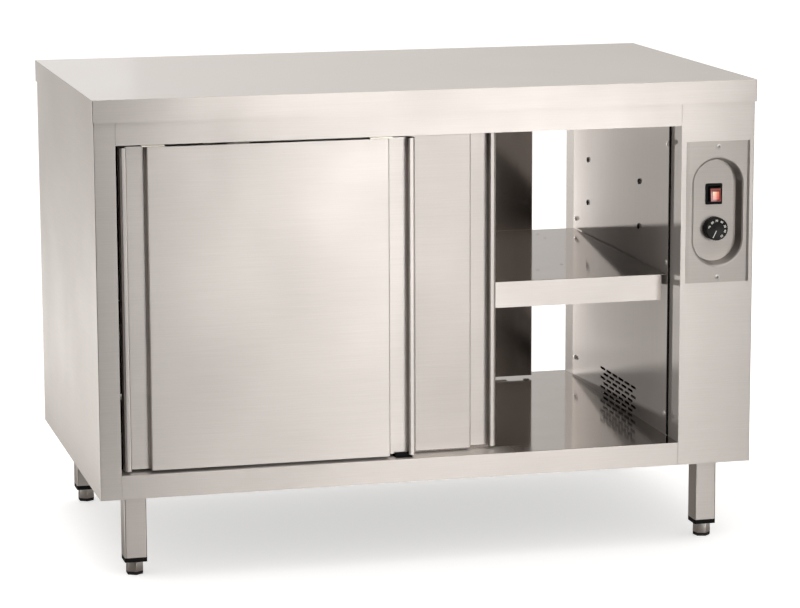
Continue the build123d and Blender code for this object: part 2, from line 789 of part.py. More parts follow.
with BuildPart() as blower_impeller:
    with BuildSketch(Plane.XZ.offset(impeller_half_length)):
        with Locations((fan_x, fan_z)):
            with PolarLocations(impeller_radius - blade_depth / 2, blade_count):
                Rectangle(blade_depth, blade_sheet)
    extrude(amount=-2 * impeller_half_length)
    for disc_y in (-impeller_half_length, -1, impeller_half_length - 2):
        with BuildSketch(Plane.XZ.offset(-disc_y)):
            with Locations((fan_x, fan_z)):
                Circle(impeller_radius)
        extrude(amount=-2)
    with BuildSketch(Plane.XZ.offset(shaft_front)):
        with Locations((fan_x, fan_z)):
            Circle(shaft_radius)
    extrude(amount=-shaft_length)
blower_impeller.part.label = "blower_impeller"
export_step(blower_impeller.part, "parts/blower_impeller.step")

motor_radius = 28
motor_length = 46

with BuildPart() as fan_motor:
    with BuildSketch(Plane.XZ.offset(-duct_half_length)):
        with Locations((fan_x, fan_z)):
            Circle(motor_radius)
    extrude(amount=-motor_length)
    chamfer(fan_motor.faces().sort_by(Axis.Y)[-1].edges(), length=3)
    with BuildSketch(Plane.XZ.offset(-duct_half_length)):
        with Locations((fan_x, fan_z)):
            Circle(shaft_radius + axle_clearance)
    extrude(amount=-20, mode=Mode.SUBTRACT)
fan_motor.part.label = "fan_motor"
export_step(fan_motor.part, "parts/fan_motor.step")

with BuildPart() as heater_element:
    with BuildLine():
        Line(
            (heater_x, duct_half_length + 12, fan_z - heater_half_pitch),
            (heater_x, -88, fan_z - heater_half_pitch),
        )
        ThreePointArc(
            (heater_x, -88, fan_z - heater_half_pitch),
            (heater_x, -88 - heater_half_pitch, fan_z),
            (heater_x, -88, fan_z + heater_half_pitch),
        )
        Line(
            (heater_x, -88, fan_z + heater_half_pitch),
            (heater_x, duct_half_length + 12, fan_z + heater_half_pitch),
        )
    heater_end = Plane.XZ.offset(-duct_half_length - 12)
    with BuildSketch(heater_end):
        with Locations((heater_x, fan_z - heater_half_pitch)):
            Circle(heater_radius)
    sweep()
heater_element.part.label = "heater_element"
export_step(heater_element.part, "parts/heater_element.step")

block_x = 500
block_y = 290

with BuildPart() as terminal_block:
    with BuildSketch(Plane.XY.offset(base_level + sheet)):
        with Locations((block_x, block_y)):
            Rectangle(60, 24)
    extrude(amount=24)
    with BuildSketch(Plane.XY.offset(base_level + sheet + 24)):
        with Locations((block_x, block_y)):
            with GridLocations(18, 12, 3, 2):
                Circle(3)
    extrude(amount=-9, mode=Mode.SUBTRACT)
terminal_block.part.label = "terminal_block"
export_step(terminal_block.part, "parts/terminal_block.step")

# Cable inlet under the column: a threaded gland with a nut on each side of the base panel.
gland_bore = 4.5
gland_nut = 11

with BuildPart() as cable_gland:
    with BuildSketch(Plane.XY.offset(base_level - 14)):
        with Locations((gland_x, gland_y)):
            RegularPolygon(gland_nut, 6)
    extrude(amount=14)
    with BuildSketch(Plane.XY.offset(base_level)):
        with Locations((gland_x, gland_y)):
            Circle(gland_radius - 0.1)
    extrude(amount=12)
    with BuildSketch(Plane.XY.offset(base_level + sheet)):
        with Locations((gland_x, gland_y)):
            RegularPolygon(gland_nut, 6)
    extrude(amount=5)
    with BuildSketch(Plane.XY.offset(base_level - 14)):
        with Locations((gland_x, gland_y)):
            Circle(gland_bore)
    extrude(amount=26, mode=Mode.SUBTRACT)
cable_gland.part.label = "cable_gland"
export_step(cable_gland.part, "parts/cable_gland.step")


# ---------------------------------------------------------------- pan-head screws
head_radius = 4
head_height = 2.2
shank_radius = 1.9
shank_length = 8

plate_screws = [
    Plane(origin=(plate_x, -face_y - sheet, plate_z + side * plate_screw_spacing / 2), z_dir=(0, -1, 0))
    for side in (-1, 1)
]
cover_screws = [
    Plane(
        origin=(
            column_middle + across * (cover_width / 2 - cover_screw_inset),
            face_y + sheet,
            cover_z + up * (cover_height / 2 - cover_screw_inset),
        ),
        z_dir=(0, 1, 0),
    )
    for across in (-1, 1)
    for up in (-1, 1)
]
wall_screws = [
    Plane(origin=(wall_x, along * wall_screw_y, height), z_dir=(facing, 0, 0))
    for wall_x, facing in ((wall_left, 1), (wall_right, -1))
    for along in (-1, 1)
    for height in wall_screw_heights
]

with BuildPart() as pan_head_screws:
    for screw_plane in plate_screws + cover_screws + wall_screws:
        with BuildSketch(screw_plane):
            Circle(head_radius)
        extrude(amount=head_height, taper=20)
        with BuildSketch(screw_plane):
            Circle(shank_radius)
        extrude(amount=-shank_length)
pan_head_screws.part.label = "pan_head_screws"
export_step(pan_head_screws.part, "parts/pan_head_screws.step")


# ---------------------------------------------------------------- sliding doors
door_height = door_top - door_bottom
guide_slot = 6
guide_slot_height = 7
slot_front = (door_thickness - guide_slot) / 2
slot_back = (door_thickness + guide_slot) / 2
panel_margin = handle_lip + handle_recess
fold_inner_radius = 0.8
panel_width = door_width - 2 * (panel_margin + door_sheet + fold_inner_radius)
hanger_top = wheel_z + 6


# One door: left is its left edge, face the distance of its outer face from the middle plane,
# and outward is -1 for a front door and 1 for a rear one.
def make_door(door_name, left, face, outward):
    def depth(inward):
        return outward * (face - inward)

    right = left + door_width
    middle = (left + right) / 2
    core = door_thickness / 2

    outline = [
        (left, depth(door_thickness)),
        (left, depth(0)),
        (left + handle_lip, depth(0)),
        (left + handle_lip, depth(handle_depth)),
        (left + panel_margin, depth(handle_depth)),
        (left + panel_margin, depth(0)),
        (right - panel_margin, depth(0)),
        (right - panel_margin, depth(handle_depth)),
        (right - handle_lip, depth(handle_depth)),
        (right - handle_lip, depth(0)),
        (right, depth(0)),
        (right, depth(door_thickness)),
    ]
    fold_radii = [4.5, 3, 1.5, 1.5, 2, 2, 1.5, 1.5, 3, 4.5]
    sheet_side = Side.LEFT if outward < 0 else Side.RIGHT

    with BuildPart() as skin:
        with BuildSketch(Plane.XY.offset(door_bottom)):
            with BuildLine():
                FilletPolyline(*outline, radius=fold_radii)
                offset(amount=door_sheet, side=sheet_side)
            make_face()
        extrude(amount=door_height)
        with BuildSketch(Plane.XY.offset(door_bottom)):
            with Locations((middle, depth(core))):
                Rectangle(door_width + 2, guide_slot)
        extrude(amount=guide_slot_height, mode=Mode.SUBTRACT)
        with BuildSketch(Plane.XY.offset(door_bottom)):
            with Locations((middle, depth((door_sheet + slot_front) / 2))):
                Rectangle(panel_width, slot_front - door_sheet)
        extrude(amount=door_sheet)
    skin.part.label = f"{door_name}_skin"
    export_step(skin.part, f"parts/{door_name}_skin.step")

    with BuildPart() as liner:
        with BuildSketch(Plane.XY.offset(door_bottom)):
            with Locations((middle, depth(door_thickness - door_sheet / 2))):
                Rectangle(door_width - 2 * door_sheet, door_sheet)
        extrude(amount=door_height)
        for flange_z, flange_front in ((door_bottom, slot_back), (door_top - door_sheet, door_sheet)):
            flange_back = door_thickness - door_sheet
            with BuildSketch(Plane.XY.offset(flange_z)):
                with Locations((middle, depth((flange_front + flange_back) / 2))):
                    Rectangle(panel_width, flange_back - flange_front)
            extrude(amount=door_sheet)
    liner.part.label = f"{door_name}_liner"
    export_step(liner.part, f"parts/{door_name}_liner.step")

    hanger_places = (left + hanger_inset, right - hanger_inset)
    hanger_y = depth(hanger_plane + 2)
    wheel_y = depth(wheel_plane + 1)

    with BuildPart() as hangers:
        for hanger_x in hanger_places:
            with BuildSketch(Plane.XY.offset(door_top)):
                with Locations((hanger_x, depth(core + 1))):
                    Rectangle(hanger_width, 14)
            extrude(amount=hanger_plate)
            with BuildSketch(Plane.XZ.offset(-hanger_y)):
                with Locations((hanger_x, (door_top + hanger_top) / 2)):
                    RectangleRounded(hanger_width, hanger_top - door_top, 4)
                with Locations((hanger_x, door_top + 4)):
                    Rectangle(hanger_width, 8)
            extrude(amount=hanger_plate / 2, both=True)
            with BuildSketch(Plane.XZ.offset(-hanger_y)):
                with Locations((hanger_x, wheel_z)):
                    Circle(axle_radius)
            extrude(amount=-outward * 9)
    hangers.part.label = f"{door_name}_hangers"
    export_step(hangers.part, f"parts/{door_name}_hangers.step")

    for side, wheel_x in zip(("left", "right"), hanger_places):
        with BuildPart() as wheel:
            with BuildSketch(Plane.XZ.offset(-wheel_y)):
                with Locations((wheel_x, wheel_z)):
                    Circle(wheel_radius)
                    Circle(axle_radius + axle_clearance, mode=Mode.SUBTRACT)
            extrude(amount=wheel_width / 2, both=True)
        wheel.part.label = f"{door_name}_wheel_{side}"
        export_step(wheel.part, f"parts/{door_name}_wheel_{side}.step")


right_closed = right_limit - door_width
make_door("front_left_door", left_limit, outer_door_face, -1)
make_door("front_right_door", right_closed - front_right_open, inner_door_face, -1)
make_door("rear_left_door", left_limit, outer_door_face, 1)
make_door("rear_right_door", right_closed - rear_right_open, inner_door_face, 1)
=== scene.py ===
import bmesh
import bpy
import math
from mathutils import Matrix, Vector


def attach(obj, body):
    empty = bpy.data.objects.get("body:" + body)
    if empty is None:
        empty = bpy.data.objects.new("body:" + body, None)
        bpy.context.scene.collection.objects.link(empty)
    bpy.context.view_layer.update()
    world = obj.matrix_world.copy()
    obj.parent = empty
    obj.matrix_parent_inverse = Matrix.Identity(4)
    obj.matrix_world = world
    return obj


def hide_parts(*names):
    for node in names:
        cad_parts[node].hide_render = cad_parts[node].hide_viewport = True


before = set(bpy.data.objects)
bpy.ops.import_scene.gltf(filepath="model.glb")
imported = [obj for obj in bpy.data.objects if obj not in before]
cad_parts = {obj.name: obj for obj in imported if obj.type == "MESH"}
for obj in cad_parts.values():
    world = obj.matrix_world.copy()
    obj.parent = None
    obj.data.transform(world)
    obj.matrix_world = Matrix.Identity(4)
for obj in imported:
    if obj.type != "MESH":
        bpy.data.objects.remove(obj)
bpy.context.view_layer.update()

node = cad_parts


# ---------------------------------------------------------------- studio
# A pale seamless floor, a soft white sky and large diffusing panels stand round the cabinet.
# The lens is a long one, at chest height, five and a half metres off.
def linear(hex_color):
    values = [int(hex_color[i:i + 2], 16) / 255 for i in (0, 2, 4)]
    return tuple(v / 12.92 if v <= 0.04045 else ((v + 0.055) / 1.055) ** 2.4 for v in values) + (1,)


def add_node(tree, kind, settings=(), links=()):
    """A node with its properties and input values set, and its inputs linked from other nodes' sockets."""
    made = tree.nodes.new(kind)
    for key, value in dict(settings).items():
        if hasattr(made, str(key)):
            setattr(made, key, value)
        else:
            made.inputs[key].default_value = value
    for key, source in dict(links).items():
        tree.links.new(source, made.inputs[key])
    return made


def blank_material(name):
    """A new material and its empty node tree."""
    material = bpy.data.materials.new(name)
    material.use_nodes = True
    material.node_tree.nodes.clear()
    return material, material.node_tree


def place_in_scene(name, data):
    thing = bpy.data.objects.new(name, data)
    bpy.context.scene.collection.objects.link(thing)
    return thing


def seen_rays(tree):
    """1 on rays the camera sees directly, in metal or through glass; 0 on those that light matt things."""
    rays = add_node(tree, "ShaderNodeLightPath")
    lens_rays = add_node(tree, "ShaderNodeMath", {"operation": "MAXIMUM"},
                         {0: rays.outputs["Is Camera Ray"], 1: rays.outputs["Is Transmission Ray"]})
    seen = add_node(tree, "ShaderNodeMath", {"operation": "MAXIMUM"},
                    {0: lens_rays.outputs[0], 1: rays.outputs["Is Glossy Ray"]})
    return seen.outputs[0]


camera_place = Vector((-1.4081, -5.6399, 1.46195))
camera_yaw = math.radians(14.283)
camera_pitch = math.radians(10.265)
camera_roll = math.radians(-0.2)
camera_data = bpy.data.cameras.new("camera")
camera_data.sensor_width = 36
camera_data.lens = 141.99
camera_data.clip_end = 100
camera = place_in_scene("camera", camera_data)
turn = Matrix.Rotation(-camera_yaw, 4, "Z") @ Matrix.Rotation(math.pi / 2 - camera_pitch, 4, "X")
camera.matrix_world = Matrix.Translation(camera_place) @ turn @ Matrix.Rotation(camera_roll, 4, "Z")
bpy.context.scene.camera = camera
bpy.context.scene.view_settings.view_transform = "Standard"

sky_strength = 0.75
world = bpy.data.worlds.new("studio")
bpy.context.scene.world = world
world.use_nodes = True
sky = world.node_tree
sky.nodes.clear()
seen = seen_rays(sky)
sky_light = add_node(sky, "ShaderNodeBackground", {"Color": linear("F2F0EE"), "Strength": sky_strength})
sky_white = add_node(sky, "ShaderNodeBackground", {"Color": (1, 1, 1, 1), "Strength": 1})
sky_mix = add_node(sky, "ShaderNodeMixShader", links={
    0: seen, 1: sky_light.outputs[0], 2: sky_white.outputs[0]})
add_node(sky, "ShaderNodeOutputWorld", links={"Surface": sky_mix.outputs[0]})

floor_size = 60
floor_glow = 0.56
shell = bmesh.new()
bmesh.ops.create_grid(shell, x_segments=1, y_segments=1, size=floor_size / 2)
floor_mesh = bpy.data.meshes.new("studio_floor")
shell.to_mesh(floor_mesh)
shell.free()
floor = place_in_scene("studio_floor", floor_mesh)
paper, tree = blank_material("white background paper")
seen = seen_rays(tree)
matte = add_node(tree, "ShaderNodeBsdfDiffuse", {"Color": linear("F4F3F1")})
lift = add_node(tree, "ShaderNodeMath", {"operation": "MULTIPLY", 1: floor_glow}, {0: seen})
glow = add_node(tree, "ShaderNodeEmission", {"Color": (1, 1, 1, 1)}, {"Strength": lift.outputs[0]})
both = add_node(tree, "ShaderNodeAddShader", links={0: matte.outputs[0], 1: glow.outputs[0]})
add_node(tree, "ShaderNodeOutputMaterial", links={"Surface": both.outputs[0]})
floor_mesh.materials.append(paper)


def hang_lamp(data, place, target):
    """Put a lamp at a place, turned to its target."""
    lamp = place_in_scene(data.name, data)
    aim = (Vector(target) - Vector(place)).to_track_quat("-Z", "Y")
    lamp.matrix_world = Matrix.Translation(place) @ aim.to_matrix().to_4x4()
    return lamp


def softbox(name, place, target, width, height, watts, on_metal=True, on_matt=True):
    data = bpy.data.lights.new(name, "AREA")
    data.shape = "RECTANGLE"
    data.size = width
    data.size_y = height
    data.energy = watts
    lamp = hang_lamp(data, place, target)
    lamp.visible_camera = False
    lamp.visible_diffuse = on_matt
    lamp.visible_glossy = on_metal


def hold_up(name, mesh, *hidden_from):
    """Put a card or flag in the scene, hidden from the camera, from diffuse and transmission rays and from
    the kinds of ray named.
    """
    held = place_in_scene(name, mesh)
    for kind in ("camera", "diffuse", "transmission", *hidden_from):
        setattr(held, "visible_" + kind, False)


def card(name, middle, width, height, left_hex, right_hex, lying=False):
    """An evenly lit card that only polished metal sees; its shade runs from left to right."""
    grid = bmesh.new()
    bmesh.ops.create_grid(grid, x_segments=1, y_segments=1, size=0.5)
    bmesh.ops.scale(grid, vec=(width, height, 1), verts=grid.verts)
    if not lying:
        bmesh.ops.rotate(grid, matrix=Matrix.Rotation(math.pi / 2, 3, "X"), verts=grid.verts)
    bmesh.ops.translate(grid, vec=middle, verts=grid.verts)
    mesh = bpy.data.meshes.new(name)
    grid.to_mesh(mesh)
    grid.free()
    shade, tree = blank_material(name + " card")
    place = add_node(tree, "ShaderNodeTexCoord")
    axes = add_node(tree, "ShaderNodeSeparateXYZ", links={0: place.outputs["Object"]})
    across = add_node(tree, "ShaderNodeMapRange", {
        "From Min": middle[0] - width / 2, "From Max": middle[0] + width / 2}, {"Value": axes.outputs["X"]})
    colour = add_node(tree, "ShaderNodeMix", {"data_type": "RGBA", 6: linear(left_hex), 7: linear(right_hex)},
                      {0: across.outputs[0]})
    light = add_node(tree, "ShaderNodeEmission", {"Strength": 1}, {"Color": colour.outputs[2]})
    add_node(tree, "ShaderNodeOutputMaterial", links={"Surface": light.outputs[0]})
    mesh.materials.append(shade)
    hold_up(name, mesh, "shadow")


card("front_flag", (0, -4.6, 2.0), 14, 4.0, "2B2725", "2B2725")
card("front_floor_flag", (-1.9, -2.6, 0.003), 8.4, 4.0, "2B2725", "2B2725", lying=True)
card("rear_grey_card", (1.9, 4.0, 1.3), 3.4, 2.6, "F0EEEC", "B4AFAA")
card("left_grey_card", (-2.3, 3.0, 1.3), 2.6, 2.2, "B4AFAA", "B4AFAA")
card("rear_floor_card", (0.2, 2.6, 0.002), 1.8, 2.0, "B4AFAA", "B4AFAA", lying=True)
# The dark card under the cabinet is painted shadow: metal sees it in place of the shaded floor beneath.
card("under_card", (0.1, 0.5, 0.002), 1.7, 2.0, "6A645F", "6A645F", lying=True)
softbox("key", (0.92, -3.6, 0.78), (0.1, -0.3, 0.6), 1.75, 1.5, 38, on_matt=False)
softbox("overhead", (-0.5, 0.5, 3.6), (0, 0, 0.4), 5, 4, 46, on_metal=False)

# A narrow spotlight low behind the cabinet shines through its open rear on the lining.
spot_data = bpy.data.lights.new("rear_spot", "SPOT")
spot_data.energy = 4700
spot_data.spot_size = math.radians(17)
spot_data.spot_blend = 0.3
spot_data.shadow_soft_size = 0.03
hang_lamp(spot_data, (0.17, 3.0, 0.05), (0.43, 0.1, 0.48)).visible_glossy = False

# A small net behind the sill holds back most of the spotlight from the foot of the partition.
net_corners = [(0.36, 0.4, 0.02), (0.47, 0.4, 0.02), (0.47, 0.4, 0.149), (0.36, 0.4, 0.328)]
net_passes = 0.3
net_mesh = bpy.data.meshes.new("spot_flag")
net_mesh.from_pydata(net_corners, [], [(0, 1, 2, 3)])
net, tree = blank_material("spot_flag net")
weave = add_node(tree, "ShaderNodeBsdfTransparent", {"Color": (net_passes, net_passes, net_passes, 1)})
add_node(tree, "ShaderNodeOutputMaterial", links={"Surface": weave.outputs[0]})
net_mesh.materials.append(net)
hold_up("spot_flag", net_mesh, "glossy")


# ---------------------------------------------------------------- worktop
# The worktop is 1.5 mm satin-finished stainless steel, folded down all round to a 40 mm edge.
# A belt brushed it along its length before it was folded, and cloths have polished it since.
far_off = 10
noise_range = (0.3, 0.7)


def tinted(tree, texture, base, darkest, lightest):
    """The base colour, varied by a noise texture between two multiples of itself."""
    tint = add_node(tree, "ShaderNodeValToRGB", links={"Fac": texture.outputs["Fac"]})
    for stop, position, shade in zip(tint.color_ramp.elements, noise_range, (darkest, lightest)):
        stop.position = position
        stop.color = tuple(min(1, c * shade) for c in base[:3]) + (1,)
    return tint


def stainless(name, hex_color, satin, fine="Z", polish=None, polish_hex=None, above=far_off,
              within=far_off, worn_right_of=far_off, ripple=0.15, spread=0.85, run=(1, 0.02, 0),
              metallic=1, dull_left_of=None):
    """Belt-brushed stainless sheet. satin is its roughness, and polish and polish_hex the roughness and
    colour that wear has left above a height, within a distance of the middle or anywhere right of
    worn_right_of. ripple is the sheet's waviness in millimetres. fine names the axes that cross the brush
    marks and run is the way the marks go; spread says how much more they scatter light across them than
    along them. Left of dull_left_of the sheet is half dulled."""
    metal, tree = blank_material(name)
    place = add_node(tree, "ShaderNodeTexCoord")
    axes = add_node(tree, "ShaderNodeSeparateXYZ", links={0: place.outputs["Object"]})
    # Real brush marks are 0.1 mm wide; they are drawn 0.8 mm wide and 90 mm long to show.
    mark_width, mark_length, mark_depth = 0.0008, 0.09, 0.000008
    stretch = tuple(1 / (mark_width if axis in fine else mark_length) for axis in "XYZ")
    lined = add_node(tree, "ShaderNodeMapping", {"Scale": stretch}, {"Vector": place.outputs["Object"]})
    marks = add_node(tree, "ShaderNodeTexNoise", {"Scale": 1, "Detail": 3, "Roughness": 0.6},
                     {"Vector": lined.outputs[0]})
    wiped = add_node(tree, "ShaderNodeTexNoise", {"Scale": 5, "Detail": 4, "Roughness": 0.55},
                     {"Vector": place.outputs["Object"]})
    waves = add_node(tree, "ShaderNodeTexNoise", {"Scale": 2.2, "Detail": 1},
                     {"Vector": place.outputs["Object"]})
    base = linear(hex_color)
    tint = tinted(tree, marks, base, 0.96, 1.03)
    # The worn area begins 0.2 to 0.6 mm under its height, 4 mm off the middle and over 80 mm at the right.
    high = add_node(tree, "ShaderNodeMapRange", {"From Min": above - 0.0006, "From Max": above - 0.0002},
                    {"Value": axes.outputs["Z"]})
    off_middle = add_node(tree, "ShaderNodeMath", {"operation": "ABSOLUTE"}, {0: axes.outputs["Y"]})
    inside = add_node(tree, "ShaderNodeMapRange", {
        "From Min": within, "From Max": within + 0.004, "To Min": 1, "To Max": 0},
        {"Value": off_middle.outputs[0]})
    worn_end = add_node(tree, "ShaderNodeMapRange", {
        "From Min": worn_right_of, "From Max": worn_right_of + 0.08}, {"Value": axes.outputs["X"]})
    used = add_node(tree, "ShaderNodeMath", {"operation": "MAXIMUM"},
                    {0: inside.outputs[0], 1: worn_end.outputs[0]})
    rubbed = add_node(tree, "ShaderNodeMath", {"operation": "MULTIPLY"},
                      {0: high.outputs[0], 1: used.outputs[0]})
    worn = add_node(tree, "ShaderNodeMapRange", {"To Min": satin, "To Max": polish or satin},
                    {"Value": rubbed.outputs[0]})
    wiped_rough = add_node(tree, "ShaderNodeMapRange", {
        "From Min": noise_range[0], "From Max": noise_range[1], "To Min": 0.92, "To Max": 1.08},
        {"Value": wiped.outputs["Fac"]})
    rough = add_node(tree, "ShaderNodeMath", {"operation": "MULTIPLY"},
                     {0: worn.outputs[0], 1: wiped_rough.outputs[0]})
    sheet_wave = add_node(tree, "ShaderNodeBump", {"Strength": 1, "Distance": ripple / 1000},
                          {"Height": waves.outputs["Fac"]})
    relief = add_node(tree, "ShaderNodeBump", {"Strength": 1, "Distance": mark_depth},
                      {"Height": marks.outputs["Fac"], "Normal": sheet_wave.outputs[0]})
    facing = add_node(tree, "ShaderNodeNewGeometry")
    # Light spreads at right angles to the marks; on end faces, where they would go inwards, they go sideways.
    spread_way = add_node(tree, "ShaderNodeVectorMath", {"operation": "CROSS_PRODUCT", 1: run},
                          {0: facing.outputs["Normal"]})
    change = [polished / plain for polished, plain in zip(linear(polish_hex or hex_color), base)]
    colour = add_node(tree, "ShaderNodeMix", {"data_type": "RGBA", "blend_type": "MULTIPLY", 7: change},
                      {0: rubbed.outputs[0], 6: tint.outputs[0]})
    surface = add_node(tree, "ShaderNodeBsdfPrincipled", {"Metallic": metallic, "Anisotropic": spread},
                       {"Base Color": colour.outputs[2], "Roughness": rough.outputs[0],
                        "Normal": relief.outputs[0], "Tangent": spread_way.outputs[0]})
    if dull_left_of is not None:
        dulled = add_node(tree, "ShaderNodeMapRange", {
            "From Min": dull_left_of - 0.0004, "From Max": dull_left_of, "To Min": 0.5, "To Max": 1},
            {"Value": axes.outputs["X"]})
        tree.links.new(dulled.outputs[0], surface.inputs["Metallic"])
    add_node(tree, "ShaderNodeOutputMaterial", links={"Surface": surface.outputs[0]})
    return metal


def dress(material, *names):
    for name in names:
        for place in node[name].material_slots:
            place.material = material


worktop_surface = 0.85
dress(stainless("satin stainless steel worktop", "D6CFC9", 0.42, fine="YZ", polish=0.22, polish_hex="DCD5CF",
                above=worktop_surface), "worktop")


# ---------------------------------------------------------------- outer body
# The sides, rails and column faces are folded from the same satin sheet and welded at the seams.
satin_sheet = stainless("satin stainless steel, brushed level", "D6CFC9", 0.42)
dress(satin_sheet, "left_side_panel", "right_side_panel", "rear_fascia", "service_cover", "front_top_rail",
      "rear_top_rail", "legs")
jamb_edge = 0.4606
dress(stainless("satin stainless steel column face", "D6CFC9", 0.42, dull_left_of=jamb_edge),
      "control_fascia")
dress(stainless("satin stainless steel control plate", "B8B1AB", 0.42), "control_plate")


# ---------------------------------------------------------------- compartment
# The lining is the same steel with the brighter finish of the rolling mill, left unbrushed.
# Plates slid across the shelf and the floor have polished their upper sides.
floor_surface = 0.192
shelf_surface = 0.492
plate_reach = 0.29
way_in = 0.12
dress(stainless("stainless steel floor, polished by plates", "D6CFC9", 0.42, polish=0.08, polish_hex="B0A9A3",
                above=floor_surface, within=plate_reach, worn_right_of=way_in), "floor_pan")
dress(stainless("stainless steel shelf, polished by plates", "D6CFC9", 0.42, polish=0.07, polish_hex="A59E98",
                above=shelf_surface), "shelf")
dress(stainless("mill-finish stainless steel lining", "CFC7C1", 0.3, fine="XY", spread=1, run=(0.02, 0, 1),
                metallic=0.5), "left_inner_wall", "partition_wall", "ceiling_panel")


# ---------------------------------------------------------------- sliding doors
# Each door is a satin skin folded round two finger grips, closed behind by a bright liner.
satin_door = stainless("satin stainless steel door sheet", "D9D2CC", 0.42)
# The right-hand doors' sheet is coloured darker than the left ones': painted shade from the left doors and
# the top rail.
shaded_satin_door = stainless("satin stainless steel door sheet, painted shade", "C6BFB9", 0.42)
bright_liner = stainless("bright rolled stainless steel liner", "948D88", 0.1)
doors = ("front_left_door", "front_right_door", "rear_left_door", "rear_right_door")
for door in doors:
    dress(satin_door if "left" in door else shaded_satin_door, door + "_skin")
    dress(bright_liner, door + "_liner")


# ---------------------------------------------------------------- door running gear
# Extruded aluminium tracks are riveted under the top of the body. Nylon wheels on zinc-plated
# hangers carry the doors, nylon guides on the floor steer them, and nylon blocks stop them.
def fine_grained(name, hex_color, roughness, grain, relief, metallic=0, mottle=0.06, gloss=0.5):
    """Moulded, cast or plated stuff: grain is its texture's size and relief its depth, in millimetres."""
    stuff, tree = blank_material(name)
    place = add_node(tree, "ShaderNodeTexCoord")
    texture = add_node(tree, "ShaderNodeTexNoise", {"Scale": 1000 / grain, "Detail": 3, "Roughness": 0.6},
                       {"Vector": place.outputs["Object"]})
    patches = add_node(tree, "ShaderNodeTexNoise", {"Scale": 40, "Detail": 2},
                       {"Vector": place.outputs["Object"]})
    tint = tinted(tree, patches, linear(hex_color), 1 - mottle, 1 + mottle)
    rough = add_node(tree, "ShaderNodeMapRange", {
        "From Min": noise_range[0], "From Max": noise_range[1], "To Min": roughness * 0.88,
        "To Max": roughness * 1.12}, {"Value": texture.outputs["Fac"]})
    relief_bump = add_node(tree, "ShaderNodeBump", {"Strength": 1, "Distance": relief / 1000},
                           {"Height": texture.outputs["Fac"]})
    surface = add_node(tree, "ShaderNodeBsdfPrincipled", {"Metallic": metallic, "Specular IOR Level": gloss},
                       {"Base Color": tint.outputs[0], "Roughness": rough.outputs[0],
                        "Normal": relief_bump.outputs[0]})
    add_node(tree, "ShaderNodeOutputMaterial", links={"Surface": surface.outputs[0]})
    return stuff


# Zinc plating is slightly yellow and cloudy; nylon is soft-edged and silky; the track has die lines.
zinc_plate = fine_grained("zinc-plated steel", "C4BEB2", 0.32, 0.6, 0.01, metallic=1, mottle=0.1)
black_nylon = fine_grained("black nylon, moulded", "161515", 0.5, 0.5, 0.02, gloss=0.12)
white_nylon = fine_grained("white nylon, turned", "DAD6CC", 0.38, 0.4, 0.01)
dress(stainless("mill-finish extruded aluminium", "BDBBB8", 0.3), "door_tracks")
dress(black_nylon, "track_stops", "floor_guides", "leg_inserts", "cable_gland", "switch_housing")
dress(zinc_plate, "shelf_studs")
for door in doors:
    dress(zinc_plate, door + "_hangers")
    dress(white_nylon, door + "_wheel_left", door + "_wheel_right")


# ---------------------------------------------------------------- feet
# A hexagon of turned stainless bar on a threaded stud screws up and down in each leg.
# It stands on a pad of black rubber of the same outline.
foot_flats = 0.028
foot_base = 0.006
foot_top = 0.0247
foot_taper = 0.001
foot_round = 0.0006
pad_taper = 0.0008
pad_round = 0.0008
stud_radius = 0.0049
stud_top = 0.098
thread_pitch = 0.0015
thread_depth = 0.0006
foot_places = {"foot_front_left": (-0.53, -0.281, 2), "foot_front_right": (0.53, -0.281, 12),
               "foot_rear_left": (-0.53, 0.281, 2), "foot_rear_right": (0.53, 0.281, 12)}
foot_bar = stainless("turned stainless steel bar", "D6CFC9", 0.36, spread=0.6)
pad_rubber = fine_grained("black rubber, moulded", "171616", 0.7, 1.2, 0.05)


def finished(shape, name, material, body, slot, *nodes, smooth=35):
    """Turn a bmesh into a piece that rides a body and stands for the given nodes; smooth is in degrees."""
    bmesh.ops.recalc_face_normals(shape, faces=shape.faces)
    for face in shape.faces:
        face.smooth = True
    for edge in shape.edges:
        edge.smooth = len(edge.link_faces) == 2 and edge.calc_face_angle(0) < math.radians(smooth)
    mesh = bpy.data.meshes.new(name)
    shape.to_mesh(mesh)
    shape.free()
    mesh.materials.append(material)
    piece = place_in_scene(name, mesh)
    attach(piece, body)
    if nodes:
        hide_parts(*nodes)


def round_edges(shape, edges, radius, segments=3):
    bmesh.ops.bevel(shape, geom=edges, offset=radius, offset_type="OFFSET", segments=segments, profile=0.5,
                    affect="EDGES", material=-1)


def spin_profile(shape, profile, steps, closed=False):
    """Spin an outline of radius and height pairs about Z; a closed one ends where it starts."""
    verts = [shape.verts.new((radius, 0, height)) for radius, height in profile]
    edges = [shape.edges.new(pair) for pair in zip(verts, verts[1:] + (verts[:1] if closed else []))]
    bmesh.ops.spin(shape, geom=verts + edges, cent=(0, 0, 0), axis=(0, 0, 1), angle=2 * math.pi, steps=steps,
                   use_merge=True)


def hexagon_block(shape, bottom, top, flats_below, flats_above, edge_round):
    """Add a hexagon block, upright on Z, with its edges rounded."""
    to_corner = 1 / math.sqrt(3)
    made = bmesh.ops.create_cone(
        shape, cap_ends=True, segments=6, radius1=flats_below * to_corner, radius2=flats_above * to_corner,
        depth=top - bottom)
    bmesh.ops.translate(shape, vec=(0, 0, (bottom + top) / 2), verts=made["verts"])
    round_edges(shape, [edge for edge in shape.edges if edge.verts[0] in made["verts"]], edge_round)


def threaded_rod(shape, radius, depth, pitch, bottom, top):
    """Add a rod with thread ridges, made by spinning its zigzag edge round Z."""
    ridges = int((top - bottom) / pitch)
    heights = [bottom + pitch * step / 2 for step in range(2 * ridges + 1)]
    zigzag = [(radius - depth * (step % 2), height) for step, height in enumerate(heights)]
    spin_profile(shape, [(0, bottom)] + zigzag + [(0, heights[-1])], steps=20)
    bmesh.ops.remove_doubles(shape, verts=shape.verts, dist=0.00001)


